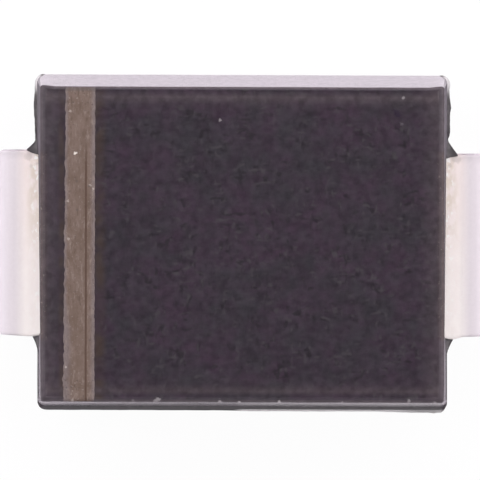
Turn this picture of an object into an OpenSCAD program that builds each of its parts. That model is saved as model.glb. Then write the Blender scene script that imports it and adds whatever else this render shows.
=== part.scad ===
// Surface-mount surge suppressor diode: a chip between two bent terminals, moulded into a black case.
// Millimetres. +Z points up from the board, the origin is the middle of the footprint at board level,
// and the marked cathode end points along -X.

/* [Moulded body] */
// Length of the body at its parting line
body_length = 4.50; // [4.20:0.01:4.70]
// Width of the body at its parting line
body_width = 3.66; // [3.30:0.01:3.94]
// Depth of the body above the parting line
upper_depth = 1.05; // [0.95:0.01:1.15]
// Depth of the body below the parting line
lower_depth = 1.15; // [1.05:0.01:1.25]
// Gap between the board and the middle of the underside
stand_off = 0.10; // [0.05:0.01:0.18]
// Draft of the long sides above the parting line, in degrees
upper_side_draft = 7; // [4:0.5:10]
// Draft of the two ends above the parting line, in degrees
upper_end_draft = 4; // [2:0.5:8]
// Draft of all four sides below the parting line, in degrees
lower_draft = 5; // [3:0.5:8]
// Radius of the edges round the top face and the underside
edge_radius = 0.05; // [0.02:0.005:0.10]
// Radius of the four upright corners
corner_radius = 0.12; // [0.06:0.01:0.20]
// Diameter of the ejector pin's mark in the underside
ejector_diameter = 1.10; // [0.60:0.05:1.60]
// Depth of the ejector pin's mark
ejector_depth = 0.03; // [0.01:0.005:0.05]

/* [Mould flash] */
// How far the flash runs out along a terminal, at the cathode back, cathode front, anode back and anode front
flash_reach = [0.12, 0.05, 0.10, 0.06]; // [0.02:0.01:0.18]
// How far the flash runs along the end of the body, in the same order
flash_spread = [0.13, 0.10, 0.13, 0.11]; // [0.04:0.01:0.25]
// How hollow the free edge of the flash is, as a share of its length
flash_hollow = 0.12; // [0.05:0.01:0.20]

/* [Terminals] */
// Width of a terminal
lead_width = 2.02; // [1.96:0.01:2.21]
// How far the anode terminal sits off the middle of the body, towards the back
anode_shift = -0.025; // [-0.05:0.005:0.05]
// Thickness of the terminal strip
lead_thickness = 0.20; // [0.15:0.01:0.30]
// Gap between the end of the body and the upright leg of a terminal
leg_gap = 0.20; // [0.12:0.01:0.30]
// Inside radius of every bend
bend_radius = 0.06; // [0.03:0.01:0.10]
// Length of a foot on the board, from the outside of the leg
foot_length = 1.15; // [0.76:0.01:1.52]
// Gap between a foot and the body above it
foot_clearance = 0.04; // [0.02:0.01:0.08]
// Gap between the inner end of a foot and the step in the underside
foot_end_gap = 0.08; // [0.04:0.01:0.20]
// Straight run of a terminal inside the end of the body
neck_run = 0.40; // [0.30:0.01:0.48]
// Slope of the step between a terminal's neck and its pad, in degrees
jog_angle = 45; // [35:1:60]
// Radius of the half-round notches that lock a terminal in the body
lock_radius = 0.14; // [0.08:0.01:0.18]

/* [Chip stack] */
// Side of the square silicon chip
die_side = 1.90; // [1.60:0.05:2.10]
// Thickness of the chip
die_thickness = 0.25; // [0.20:0.01:0.32]
// Width of the glass rim round the raised middle of the chip
rim_width = 0.15; // [0.08:0.01:0.20]
// Depth of the glass rim
rim_depth = 0.08; // [0.04:0.01:0.12]
// Thickness of each solder layer
solder_thickness = 0.04; // [0.02:0.005:0.06]
// How far the solder under the chip spreads past its sides
solder_spread = 0.05; // [0.02:0.01:0.08]
// How far a pad reaches past what is soldered to it
pad_margin = 0.10; // [0.09:0.01:0.20]
// Distance from the edge of the raised middle of the chip to the round contact on it
contact_margin = 0.15; // [0.10:0.01:0.25]
// Height of the contact dimple pressed into the anode pad
dimple_height = 0.06; // [0.04:0.005:0.10]

/* [Cathode mark] */
// Distance from the cathode end of the top face to the mark
band_inset = 0.26; // [0.15:0.01:0.50]
// Width of the broad stripe
broad_stripe = 0.22; // [0.10:0.01:0.40]
// Width of the narrow stripe
narrow_stripe = 0.09; // [0.05:0.01:0.20]
// Gap between the two stripes
stripe_gap = 0.025; // [0.015:0.005:0.08]
// Distance from the ends of the stripes to the rounded edges of the top face
band_margin = 0.01; // [0.005:0.005:0.10]
// Depth of the mark
mark_depth = 0.02; // [0.01:0.005:0.04]

/* [Hidden] */

$fn = 64;
ARC_STEPS = 6;
// Room by which a cutting solid runs past what it cuts
CUT_ROOM = 0.05;
// Share of the corner radius between a corner's arc centre and the sides, a little under 1 so that the arc crosses them
CORNER_CENTRE = 0.97;

CATHODE = -1;
ANODE = 1;

half_length = body_length / 2;
half_width = body_width / 2;
parting_height = stand_off + lower_depth;
package_height = parting_height + upper_depth;
top_half_length = half_length - upper_depth * tan(upper_end_draft);
top_half_width = half_width - upper_depth * tan(upper_side_draft);
// Where the flat of the top face ends and the rounded edge of a long side begins
flat_half_width = top_half_width - edge_radius * tan(45 - upper_side_draft / 2);

outer_half_length = half_length + leg_gap + lead_thickness;
foot_inner_x = outer_half_length - foot_length;
recess_x = foot_inner_x - foot_end_gap;
recess_z = lead_thickness + foot_clearance;
bend_mid_radius = bend_radius + lead_thickness / 2;
bend_outer_radius = bend_radius + lead_thickness;
lead_mid_z = parting_height - lead_thickness / 2;

die_bottom_z = lead_mid_z - die_thickness / 2;
die_top_z = lead_mid_z + die_thickness / 2;
mesa_side = die_side - 2 * rim_width;
contact_radius = mesa_side / 2 - contact_margin;
cathode_pad_mid_z = die_bottom_z - solder_thickness - lead_thickness / 2;
anode_pad_bottom_z = die_top_z + solder_thickness + dimple_height;
anode_pad_mid_z = anode_pad_bottom_z + lead_thickness / 2;
cathode_pad_width = die_side + 2 * pad_margin;
anode_pad_width = 2 * (contact_radius + pad_margin);

// Outlines

function unit(v) = v / norm(v);

// Points of an arc of this radius that rounds the corner at p between its neighbours a and b
function rounded_corner(p, a, b, radius) =
    let (u = unit(a - p),
         v = unit(b - p),
         half_angle = acos(u * v) / 2,
         centre = p + unit(u + v) * radius / sin(half_angle),
         first = p + u * radius / tan(half_angle) - centre,
         last = p + v * radius / tan(half_angle) - centre,
         start = atan2(first.y, first.x),
         turn = atan2(first.x * last.y - first.y * last.x, first * last))
    [for (i = [0 : ARC_STEPS])
        centre + radius * [cos(start + turn * i / ARC_STEPS), sin(start + turn * i / ARC_STEPS)]];

// Outline through the corners, each given as [x, y, radius], where a radius of 0 leaves it sharp
function rounded_outline(corners) =
    let (count = len(corners),
         p = [for (c = corners) [c.x, c.y]])
    [for (i = [0 : count - 1])
        each (corners[i][2] == 0)
            ? [p[i]]
            : rounded_corner(p[i], p[(i + count - 1) % count], p[(i + 1) % count], corners[i][2])];

// How far a terminal sits off the middle of the body
function terminal_shift(end) = end == ANODE ? anode_shift : 0;

function mirrored(corners) = [for (i = [len(corners) - 1 : -1 : 0]) [-corners[i].x, corners[i].y, corners[i][2]]];

// Half length or half width of the body at a height below the parting line
function lower_half(half_size, z) = half_size - (parting_height - z) * tan(lower_draft);

// Right half of the lengthwise section, from the underside up, with the recess over a foot
function end_corners() = [
    [recess_x, stand_off, edge_radius],
    [recess_x, recess_z, 0],
    [lower_half(half_length, recess_z), recess_z, edge_radius],
    [half_length, parting_height, 0],
    [top_half_length, package_height, edge_radius],
];

// Right half of the section across the body, from the underside up
function side_corners() = [
    [lower_half(half_width, stand_off), stand_off, edge_radius],
    [half_width, parting_height, 0],
    [top_half_width, package_height, edge_radius],
];

// Body

module end_section_prism() {
    rotate([90, 0, 0])
        linear_extrude(body_width + 2 * CUT_ROOM, center = true)
            polygon(rounded_outline(concat(end_corners(), mirrored(end_corners()))));
}

module side_section_prism() {
    rotate([90, 0, 90])
        linear_extrude(body_length + 2 * CUT_ROOM, center = true)
            polygon(rounded_outline(concat(side_corners(), mirrored(side_corners()))));
}

// What the rounding takes off the upright corner at +X and +Y
module corner_cut() {
    inset = corner_radius * CORNER_CENTRE;
    translate([half_length - inset, half_width - inset, 0])
        linear_extrude(package_height + CUT_ROOM)
            difference() {
                square(inset + CUT_ROOM);
                circle(corner_radius);
            }
}

module drafted_block() {
    difference() {
        intersection() {
            end_section_prism();
            side_section_prism();
        }
        for (end = [0, 1], side = [0, 1])
            mirror([end, 0, 0]) mirror([0, side, 0]) corner_cut();
    }
}

// Three-cornered web of flash between the end of the body and the edge of a terminal at edge_y
module flash_web(reach, spread, edge_y) {
    root_x = lower_half(half_length, parting_height - lead_thickness) - CUT_ROOM;
    tip = [half_length + reach, edge_y];
    foot = [half_length, edge_y + spread];
    sag = flash_hollow * (reach + spread) / 2;
    middle = (tip + foot) / 2 - [sag, sag] / 2;
    translate([0, 0, parting_height - lead_thickness])
        linear_extrude(lead_thickness)
            polygon([[root_x, tip.y], tip, middle, foot, [root_x, foot.y]]);
}

module flash_webs() {
    for (i = [0 : 3]) {
        end = i < 2 ? CATHODE : ANODE;
        side = i % 2 == 0 ? 1 : -1;
        scale([end, side, 1])
            flash_web(flash_reach[i], flash_spread[i], lead_width / 2 + side * terminal_shift(end));
    }
}

module ejector_mark() {
    translate([0, 0, stand_off - CUT_ROOM])
        cylinder(d = ejector_diameter, h = ejector_depth + CUT_ROOM);
}

module moulded_body() {
    color([0.25, 0.22, 0.25])
        difference() {
            union() {
                drafted_block();
                flash_webs();
            }
            ejector_mark();
            mark_stripes(CUT_ROOM);
            terminal(CATHODE);
            terminal(ANODE);
            chip_outline();
            glass_rim();
            square_solder();
            round_solder();
        }
}

// Terminals

// Quarter, or other part, of a ring that turns the strip by this angle, to the left where it is positive
module strip_bend(turn, width) {
    side = sign(turn);
    translate([0, side * bend_mid_radius, 0])
        rotate([0, 0, -90 * side + min(turn, 0)])
            rotate_extrude(angle = abs(turn))
                translate([bend_radius, -width / 2])
                    square([lead_thickness, width]);
}

// Strip drawn along its own path in the XY plane. Each step is [straight run, turn after it, width].
module bent_strip(steps, index = 0) {
    if (index < len(steps)) {
        run = steps[index][0];
        turn = steps[index][1];
        width = steps[index][2];
        translate([0, -lead_thickness / 2, -width / 2]) cube([run, lead_thickness, width]);
        if (index + 1 < len(steps))
            translate([run, sign(turn) * bend_mid_radius, 0])
                rotate([0, 0, turn])
                    translate([0, -sign(turn) * bend_mid_radius, 0])
                        bent_strip(steps, index + 1);
        if (turn != 0) translate([run, 0, 0]) strip_bend(turn, width);
    }
}

// Sloping run and total length of the step that lifts or lowers a terminal's pad by a height
function jog_run(height) = (height - 2 * bend_mid_radius * (1 - cos(jog_angle))) / sin(jog_angle);
function jog_length(height) = 2 * bend_mid_radius * sin(jog_angle) + jog_run(height) * cos(jog_angle);

// Steps from the inner end of a foot, round the leg and through the end of the body to the pad
function terminal_steps(jog_side, jog_height, pad_width, pad_inner_x) = [
    [foot_length - bend_outer_radius, 90, lead_width],
    [parting_height - 2 * bend_outer_radius, 90, lead_width],
    [leg_gap - bend_radius + neck_run, -jog_side * jog_angle, lead_width],
    [jog_run(jog_height), jog_side * jog_angle, pad_width],
    [half_length - neck_run - jog_length(jog_height) - pad_inner_x, 0, pad_width],
];

module lock_notches() {
    for (side = [-1, 1])
        translate([half_length - neck_run / 2, side * lead_width / 2, lead_mid_z])
            cylinder(r = lock_radius, h = lead_thickness + 2 * CUT_ROOM, center = true);
}

// Strip of one terminal at the +X end, with its foot on the board
module terminal_strip(jog_side, jog_height, pad_width, pad_inner_x) {
    difference() {
        translate([foot_inner_x, 0, lead_thickness / 2])
            rotate([90, 0, 0])
                bent_strip(terminal_steps(jog_side, jog_height, pad_width, pad_inner_x));
        lock_notches();
    }
}

// Round contact pressed down out of the anode pad, hollow from above
module contact_dimple() {
    translate([0, 0, anode_pad_bottom_z - dimple_height])
        cylinder(r = contact_radius, h = dimple_height);
}

module dimple_hollow() {
    translate([0, 0, anode_pad_bottom_z + lead_thickness - dimple_height])
        cylinder(r = contact_radius - dimple_height, h = dimple_height + CUT_ROOM);
}

module terminal(end) {
    if (end == CATHODE)
        mirror([1, 0, 0])
            terminal_strip(-1, lead_mid_z - cathode_pad_mid_z, cathode_pad_width, -cathode_pad_width / 2);
    else
        difference() {
            union() {
                translate([0, terminal_shift(end), 0])
                    terminal_strip(1, anode_pad_mid_z - lead_mid_z, anode_pad_width, -anode_pad_width / 2);
                contact_dimple();
            }
            dimple_hollow();
        }
}

module cathode_terminal() {
    color([0.90, 0.86, 0.87]) terminal(CATHODE);
}

module anode_terminal() {
    color([0.90, 0.86, 0.87]) terminal(ANODE);
}

// Chip stack

// Square plate centred on the chip, standing on a height
module square_plate(side, z, thickness) {
    translate([-side / 2, -side / 2, z]) cube([side, side, thickness]);
}

// Chip with its etched step all round the raised middle
module chip_outline() {
    square_plate(die_side, die_bottom_z, die_thickness - rim_depth);
    square_plate(mesa_side, die_bottom_z, die_thickness);
}

module glass_rim() {
    difference() {
        square_plate(die_side, die_top_z - rim_depth, rim_depth);
        square_plate(mesa_side, die_top_z - rim_depth - CUT_ROOM, rim_depth + 2 * CUT_ROOM);
    }
}

module square_solder() {
    square_plate(die_side + 2 * solder_spread, die_bottom_z - solder_thickness, solder_thickness);
}

module round_solder() {
    translate([0, 0, die_top_z]) cylinder(r = contact_radius, h = solder_thickness);
}

module silicon_die() {
    color([0.36, 0.38, 0.42]) chip_outline();
}

module passivation_glass() {
    color([0.80, 0.86, 0.82]) glass_rim();
}

module die_solder() {
    color([0.62, 0.62, 0.64]) square_solder();
}

module contact_solder() {
    color([0.62, 0.62, 0.64]) round_solder();
}

// Cathode mark

// The two stripes let into the top face, made taller by a room to cut their own recesses
module mark_stripes(room = 0) {
    broad_x = band_inset - top_half_length;
    narrow_x = broad_x + broad_stripe + stripe_gap;
    length = 2 * (flat_half_width - band_margin);
    for (stripe = [[broad_x, broad_stripe], [narrow_x, narrow_stripe]])
        translate([stripe[0], -length / 2, package_height - mark_depth])
            cube([stripe[1], length, mark_depth + room]);
}

module cathode_band() {
    color([0.49, 0.42, 0.40]) mark_stripes();
}

moulded_body();
cathode_terminal();
anode_terminal();
silicon_die();
passivation_glass();
die_solder();
contact_solder();
cathode_band();
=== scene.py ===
"""Looks of the surface-mount surge-suppressor diode: case, terminals and cathode mark, on a white floor.

Sizes and places are in millimetres, in the frame of the solids, and become metres as each mesh is made.
"""
import math

import bpy
import numpy as np
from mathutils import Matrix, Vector, noise


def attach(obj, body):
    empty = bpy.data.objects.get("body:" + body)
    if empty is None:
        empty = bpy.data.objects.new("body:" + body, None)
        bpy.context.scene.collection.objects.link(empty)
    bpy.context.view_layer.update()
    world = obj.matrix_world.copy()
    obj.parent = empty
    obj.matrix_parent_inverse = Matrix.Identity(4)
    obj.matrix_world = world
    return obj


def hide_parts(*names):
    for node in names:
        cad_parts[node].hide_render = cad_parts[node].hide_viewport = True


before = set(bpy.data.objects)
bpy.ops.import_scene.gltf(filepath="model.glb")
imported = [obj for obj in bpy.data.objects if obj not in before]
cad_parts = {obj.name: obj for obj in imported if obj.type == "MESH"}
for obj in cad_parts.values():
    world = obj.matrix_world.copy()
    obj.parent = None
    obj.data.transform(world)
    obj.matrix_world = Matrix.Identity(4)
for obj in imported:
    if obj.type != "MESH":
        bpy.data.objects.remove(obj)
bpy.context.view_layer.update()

METRES = 0.001

# Case
HALF_LENGTH = 2.240
HALF_WIDTH = 1.832
# How much less the case reaches at its back than at its front
BACK_INSET = 0.005
# How far the case leans to the front for each millimetre along its length
CASE_SKEW = 0.0038
# How far the back corners of the top reach beyond its straight back edge
CORNER_FILL = 0.012
STAND_OFF = 0.10
PARTING_HEIGHT = 1.25
TOP_HEIGHT = 2.296
BACK_DRAFT = math.radians(7.13)
FRONT_DRAFT = math.radians(5.4)
UPPER_END_DRAFT = math.radians(3.5)
LOWER_DRAFT = math.radians(5)
# How far the upper half of the case stands back from the lower one, along the front, over each terminal
# and at the ends in front of the terminals
FRONT_LEDGE = 0.032
CATHODE_RECESS = 0.0205
ANODE_RECESS = 0.018
FRONT_END_RECESS = 0.012
# How much deeper the recess over a terminal is for each millimetre towards the front
RECESS_SLOPE = 0.0091
# Share of these recesses that is left at the top of the case
RECESS_AT_TOP = 0.7
# Height of the step over the terminals, just below their upper face
LEDGE_HEIGHT = 1.24
EDGE_RADIUS = 0.05
TOP_EDGE_RADIUS = 0.035
FRONT_EDGE_RADIUS = 0.048
# How far in from an end the top face begins to round off
END_ROUNDING = 0.055
CORNER_RADIUS = 0.090
TOP_CORNER_RADIUS = 0.030
# Part of the outward direction that points along an axis where a face belongs to that side
SIDE_FACING = 0.7
# Where the recesses over the feet begin, and their height
RECESS_X = 1.42
RECESS_HEIGHT = 0.24
EJECTOR_RADIUS = 0.55
EJECTOR_SLOPE = 0.015
EJECTOR_DEPTH = 0.03
# Height and size of the unevenness of the walls, and its seed
WALL_TREMOR = (0.0012, 0.22, 5)

# Mesh of the case: faces round an edge and half a corner, spacing of grid lines, and where fine ones lie,
# beside the corners and across the webs
EDGE_STEPS = 10
CORNER_STEPS = 4
CASE_GRID_STEP = 0.045
CORNER_MARGIN = 0.02
WEB_LINES = (
    0.925, 0.94, 0.952, 0.966, 0.98, 0.992, 1.003, 1.02, 1.033, 1.035, 1.043, 1.056, 1.06, 1.075, 1.09,
    1.11, 1.14, 1.17,
)
# Heights where the plain lower wall ends and the upper one begins, and how far it ends below the top's edge
LOWER_WALL_TOP = 1.045
UPPER_WALL_START = 1.30
UPPER_WALL_MARGIN = 0.03

# Webs of mould flash beside the terminals: end, side, distance from the middle line, reach out of the end,
# spread along the end, hollowness of the edge, and how far the web creeps onto the terminal
WEBS = (
    (-1, 1, 1.003, 0.124, 0.138, 1.38, 0.045),
    (-1, -1, 1.043, 0.054, 0.150, 1.60, 0.002),
    (1, 1, 0.952, 0.130, 0.182, 1.12, 0.016),
    (1, -1, 1.058, 0.067, 0.155, 1.40, 0.002),
)
# How far a web lies above the terminal that it creeps onto, and the height up to which it does
WEB_RISE = 0.008
WEB_TOP = 1.251
# Ragged lip of flash along the parting line, as reaches that it gains and where: towards the back on both
# ends, and towards the right along the front, where it starts with some; then the even lip that it adds to
LEFT_LIP = ((0.018, 1.02, 1.06), (0.016, 1.15, 1.45), (-0.012, 1.50, 1.70))
RIGHT_LIP = ((0.034, 1.11, 1.19), (-0.008, 1.55, 1.70))
FRONT_LIP = ((0.007, -0.2, 0.1), (0.012, 1.5, 1.9))
FRONT_LIP_START = 0.004
EVEN_END_LIP = 0.002
EVEN_FRONT_LIP = 0.004
# How far the thin flash along the front lies on the lower half of the case, and the height of its inner edge
FLASH_OVERLAP = 0.007
FLASH_HEIGHT = 1.2519
# Rings round the parting line: height, share of the webs' reach and share of the lip's reach
PARTING_RINGS = (
    (1.052, 0, 0), (1.058, 0.96, 0), (1.075, 1, 0), (1.11, 1, 0), (1.15, 1, 0), (1.19, 1, 0),
    (1.222, 1, 0), (1.236, 1, 0.6), (1.243, 0.97, 1), (1.249, 0.95, 1), (1.2495, 0.90, 0.15),
    (1.250, 0.85, 0), (FLASH_HEIGHT, 0.66, 0), (1.2585, 0, 0), (1.265, 0, 0),
)

# Places of the case's finishes in its list of materials: long sides, corners, and ends and edges; the top
# and the underside have the first
GLOSSY = 1
SATIN = 2
DULL = 3

# Terminals
LEAD_WIDTH = 2.02
LEAD_THICKNESS = 0.20
LEG_GAP = 0.20
BEND_RADIUS = 0.06
FOOT_LENGTH = 1.15
NECK_RUN = 0.40
JOG_ANGLE = math.radians(45)
LOCK_RADIUS = 0.14
OUTER_HALF_LENGTH = 2.66
# End of the solid case, from which the neck is measured
CASE_END = 2.25
BEND_MID_RADIUS = BEND_RADIUS + LEAD_THICKNESS / 2
BEND_OUTER_RADIUS = BEND_RADIUS + LEAD_THICKNESS
LEAD_MIDDLE_HEIGHT = PARTING_HEIGHT - LEAD_THICKNESS / 2
CONTACT_RADIUS = 0.65
DIMPLE_SLOPE = 0.03
DIMPLE_HEIGHT = 0.06
# Edges of the strip: how far in and how far down the outer ones are rolled, and radius of the inner ones
ROLL_WIDTH = 0.030
ROLL_DROP = 0.016
INNER_ROUND = 0.012
# Rounding of the strip's two ends, and the turns at which it is drawn
END_ROUND = 0.02
END_TURNS = np.radians((0, 30, 60))
# Longest face along the strip, and largest turn of a face in its bends
LEAD_STEP = 0.04
BEND_STEP = math.radians(5)
# Where the front edge has widened fully, and where the strip comes out of the case
FLARE_END = 2.28
OUT_OF_CASE = (2.0, 2.1)
# Height and size of the unevenness of the strip outside the case
LEAD_TREMOR = (0.0012, 0.35)
# How far in from the back edge its painted shade reaches
BACK_SHADE_REACH = 0.10
# What tells the terminals apart: end, width and drop of the pad inside, shift to the side, how far the front
# edge widens towards the case and from where, how far the back edge stands back, and a seed
CATHODE = {
    "end": -1, "pad_width": 2.10, "pad_drop": 0.265, "shift": -0.005,
    "flare": 0.014, "flare_start": 2.62, "trim": 0.003, "seed": 31,
}
ANODE = {
    "end": 1, "pad_width": 1.50, "pad_drop": -0.325, "shift": -0.025,
    "flare": 0.030, "flare_start": 2.44, "trim": 0.029, "seed": 37,
}

# Cathode mark
BAND_FRONT = -1.694
BAND_BACK = 1.696
# Where the top face begins to round off under the band's ends
BAND_ROUNDING = (-1.652, 1.674)
BAND_DEPTH = 0.02
BAND_RISE = 0.0030
# How far the rim of the band and its groove lie below its face
BAND_RIM_DROP = 0.0035
GROOVE_DEPTH = 0.0012
# Left edge of the broad stripe, both edges of the groove, and right edge of the narrow stripe
BAND_LEFT = -1.919
GROOVE_LEFT = -1.693
GROOVE_RIGHT = -1.677
BAND_RIGHT = -1.588
# Longest face along the band, and faces across the broad stripe, the groove and the narrow stripe
BAND_STEP = 0.012
BROAD_FACES = 20
GROOVE_FACES = 3
NARROW_FACES = 9


# Shapes in general

def smooth(value, low, high):
    """0 below low, 1 above high and a smooth rise between them; downwards where high is below low."""
    t = np.clip((value - low) / (high - low), 0, 1)
    return t * t * (3 - 2 * t)


def climb(value, rises):
    """Sum of smooth rises, each with its height, start and end."""
    return sum(height * smooth(value, low, high) for height, low, high in rises)


def hump(value, middle, spread):
    """1 where a value is at the middle, falling off to both sides."""
    return np.exp(-(((value - middle) / spread) ** 2))


def waves(points, size, seed):
    """Smooth random heights between about -1 and 1, with hills about one size apart."""
    shift = Vector((seed * 17.3, seed * 5.9, seed * 11.7))
    return np.array([noise.noise(Vector(p) / size + shift) for p in points])


def ripples(points, *layers):
    """Sum of layers of waves, each with its height, size and seed."""
    return sum(height * waves(points, size, seed) for height, size, seed in layers)


def spaced(stops, step):
    """Positions from the first stop to the last, through every stop, at most one step apart."""
    places = [stops[0]]
    for low, high in zip(stops, stops[1:]):
        count = max(1, math.ceil((high - low) / step - 1e-6))
        places += [low + (high - low) * (i + 1) / count for i in range(count)]
    return np.array(places)


def both_sides(places):
    """Positions from 0 outwards, mirrored to run from the far left to the far right."""
    return np.concatenate([-places[:0:-1], places])


def grid_faces(index):
    """Quads between the point numbers of a grid."""
    quads = np.stack([index[:-1, :-1], index[1:, :-1], index[1:, 1:], index[:-1, 1:]], 2)
    return quads.reshape(-1, 4).tolist()


def ring_faces(levels, count):
    """Quads between closed rings that each have as many points."""
    index = np.arange(levels * count).reshape(levels, count)
    return grid_faces(np.concatenate([index, index[:, :1]], 1))


def turned(faces):
    """The same faces, looking the other way."""
    return [[face[0], *face[:0:-1]] for face in faces]


def make_piece(name, points, faces, crease_degrees):
    """Mesh object from points in millimetres, smooth apart from edges that bend more than the crease."""
    mesh = bpy.data.meshes.new(name)
    mesh.from_pydata((np.asarray(points) * METRES).tolist(), [], faces)
    mesh.validate()
    mesh.shade_smooth()
    mesh.set_sharp_from_angle(angle=math.radians(crease_degrees))
    piece = bpy.data.objects.new(name, mesh)
    bpy.context.scene.collection.objects.link(piece)
    return piece


def add_values(piece, name, values):
    """One number for each point of a mesh, for its material to read."""
    attribute = piece.data.attributes.new(name, "FLOAT", "POINT")
    attribute.data.foreach_set("value", np.asarray(values, np.float32))


# Case

def underside_height(x):
    """Height of the underside along the length: low in the middle, high over the feet."""
    inside = np.clip(np.abs(x) - (RECESS_X - EDGE_RADIUS), 0, EDGE_RADIUS)
    low = STAND_OFF + EDGE_RADIUS - np.sqrt(EDGE_RADIUS ** 2 - inside ** 2)
    return np.where(np.abs(x) > RECESS_X + 0.001, RECESS_HEIGHT, low)


def half_sizes(z, front):
    """Half length, half width and corner radius of the drafted case at a height; front says which half."""
    above = np.maximum(z - PARTING_HEIGHT, 0)
    below = np.maximum(PARTING_HEIGHT - z, 0)
    upper = z > PARTING_HEIGHT
    a = HALF_LENGTH - above * math.tan(UPPER_END_DRAFT) - below * math.tan(LOWER_DRAFT)
    b_front = HALF_WIDTH - FRONT_LEDGE * upper - above * math.tan(FRONT_DRAFT) - below * math.tan(LOWER_DRAFT)
    b_back = HALF_WIDTH - BACK_INSET - above * math.tan(BACK_DRAFT) - below * math.tan(LOWER_DRAFT)
    r = CORNER_RADIUS + (TOP_CORNER_RADIUS - CORNER_RADIUS) * above / (TOP_HEIGHT - PARTING_HEIGHT)
    return a, np.where(front, b_front, b_back), r


def flat_inset(radius, draft):
    """How far a flat face ends before its corner with a drafted wall, where the edge is rounded."""
    return radius * np.tan(math.pi / 4 - draft / 2)


def underside_reach():
    """Half length of the straight edge of the underside beside its step."""
    half_length, _, corner = half_sizes(STAND_OFF + EDGE_RADIUS, False)
    return half_length - flat_inset(EDGE_RADIUS, LOWER_DRAFT) - corner


def web_reach(x, y):
    """How far the web of mould flash beside a terminal stands out of the end of the case."""
    reach = np.zeros_like(y)
    for end, side, edge, length, spread, hollow, creep in WEBS:
        off = (y * side - edge) / spread
        web = length * np.clip(1 - off, 0, 1) ** hollow
        web = np.where(off < 0, length * np.sqrt(np.clip(1 + off * spread / creep, 0, 1)), web)
        reach += np.where(x * end > 0, web, 0)
    return reach


def lip_reach(x, y, out_x, on_front):
    """How far the thin, ragged lip of flash stands out along the parting line."""
    outline = np.stack([x, y, 0 * x], 1)
    ragged = 1 + ripples(outline, (0.35, 0.12, 3), (0.25, 0.04, 4))
    back_corners = np.abs(out_x) * np.where(x > 0, climb(y, RIGHT_LIP), climb(y, LEFT_LIP))
    before_corners = smooth(x, 2.22, 2.16) * smooth(x, -2.22, -2.12)
    front = (FRONT_LIP_START + climb(x, FRONT_LIP)) * on_front * before_corners
    return (back_corners + front) * ragged + EVEN_END_LIP * np.abs(out_x) + EVEN_FRONT_LIP * on_front


def end_recess(x, y, z):
    """How far an end of the case stands back over its terminal, which hides the step, and in front of it."""
    from_middle = y - np.where(x > 0, ANODE["shift"], 0)
    recess = np.where(x > 0, ANODE_RECESS, CATHODE_RECESS) - RECESS_SLOPE * y
    recess = recess * smooth(from_middle, LEAD_WIDTH / 2 - 0.01, LEAD_WIDTH / 2 - 0.04)
    recess += (FRONT_END_RECESS - recess) * smooth(from_middle, -LEAD_WIDTH / 2, -LEAD_WIDTH / 2 - 0.05)
    below_top = np.clip((TOP_HEIGHT - z) / (TOP_HEIGHT - PARTING_HEIGHT), 0, 1)
    return recess * (RECESS_AT_TOP + (1 - RECESS_AT_TOP) * below_top)


def outline_side(lines, start):
    """One side of the case with half a corner at each end, less its last point: shares of its half length,
    and outward directions, which turn on from the start."""
    steps = 45 * np.arange(CORNER_STEPS + 1) / CORNER_STEPS
    straight = np.full(len(lines), start + 45)
    turn = np.radians(np.concatenate([start + steps[:-1], straight, start + 45 + steps[1:]]))
    corner = np.ones(CORNER_STEPS)
    along = np.concatenate([-corner, lines, corner])
    return along[:-1], turn[:-1]


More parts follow.
